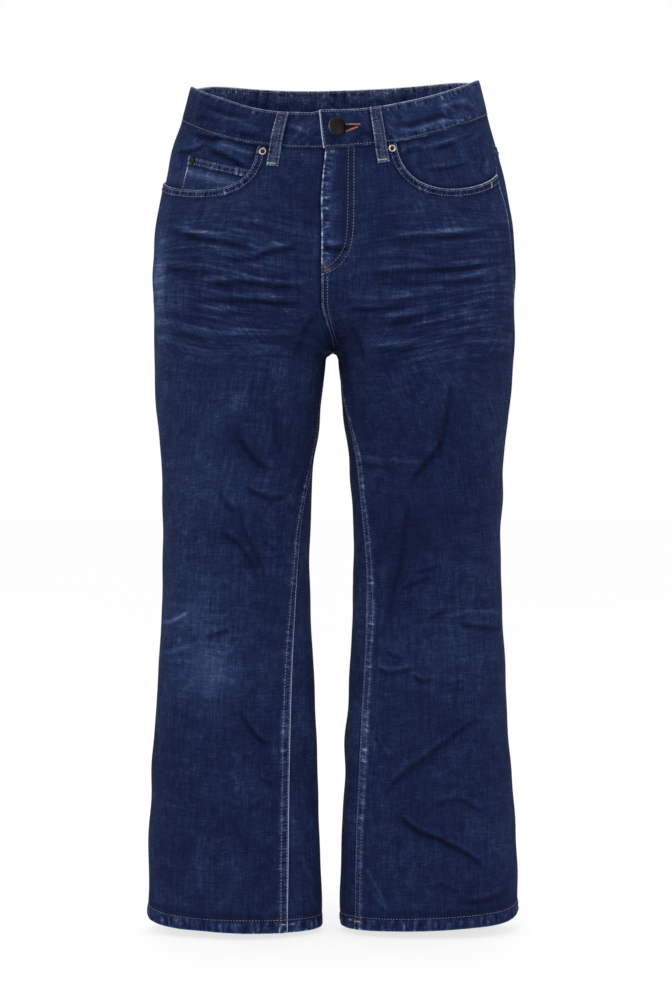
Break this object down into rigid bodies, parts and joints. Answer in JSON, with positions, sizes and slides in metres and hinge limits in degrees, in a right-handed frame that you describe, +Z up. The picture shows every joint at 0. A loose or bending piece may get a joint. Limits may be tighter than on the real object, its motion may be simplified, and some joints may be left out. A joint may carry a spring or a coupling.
{
  "type": "bootcut jeans",
  "caption": "Bootcut denim jeans standing open and hollow, with waistband, belt loops, hip, coin and back pockets, buttoned fly front and stitched hems.",
  "frame": {"origin": "middle of the waist opening, level with the top of the side seams, where the wearer's waist holds the garment up", "axes": "+Z up to the waist, the front faces -Y, +X to the wearer's left"},
  "size_m": [0.4181, 0.2264, 0.9635],
  "materials": {
    "denim": "indigo twill denim, softly worn, matt",
    "facing_denim": "dark unworn indigo twill denim, matt",
    "worn_denim": "indigo twill denim with rubbed edges, matt",
    "dark_metal": "blackened bronze, satin",
    "rivet_metal": "pale nickel plate, satin",
    "thread": "rust-brown spun topstitching thread, dulled by wear"
  },
  "bodies": {
    "root": {"front_panel_left": "denim", "front_panel_right": "denim", "back_panel_left": "denim", "back_panel_right": "denim", "back_yoke_left": "denim", "back_yoke_right": "denim", "waistband": "denim", "pocket_facing_left": "facing_denim", "pocket_facing_right": "facing_denim", "back_pocket_left": "denim", "back_pocket_right": "denim", "coin_pocket": "worn_denim", "belt_loop_front_right": "worn_denim", "belt_loop_front_left": "worn_denim", "belt_loop_back_right": "worn_denim", "belt_loop_back_left": "worn_denim", "belt_loop_centre_back": "worn_denim", "waist_button": "dark_metal", "rivet_front_right": "rivet_metal", "rivet_front_left": "rivet_metal", "rivet_coin_pocket": "dark_metal"}
  },
  "joints": []
}
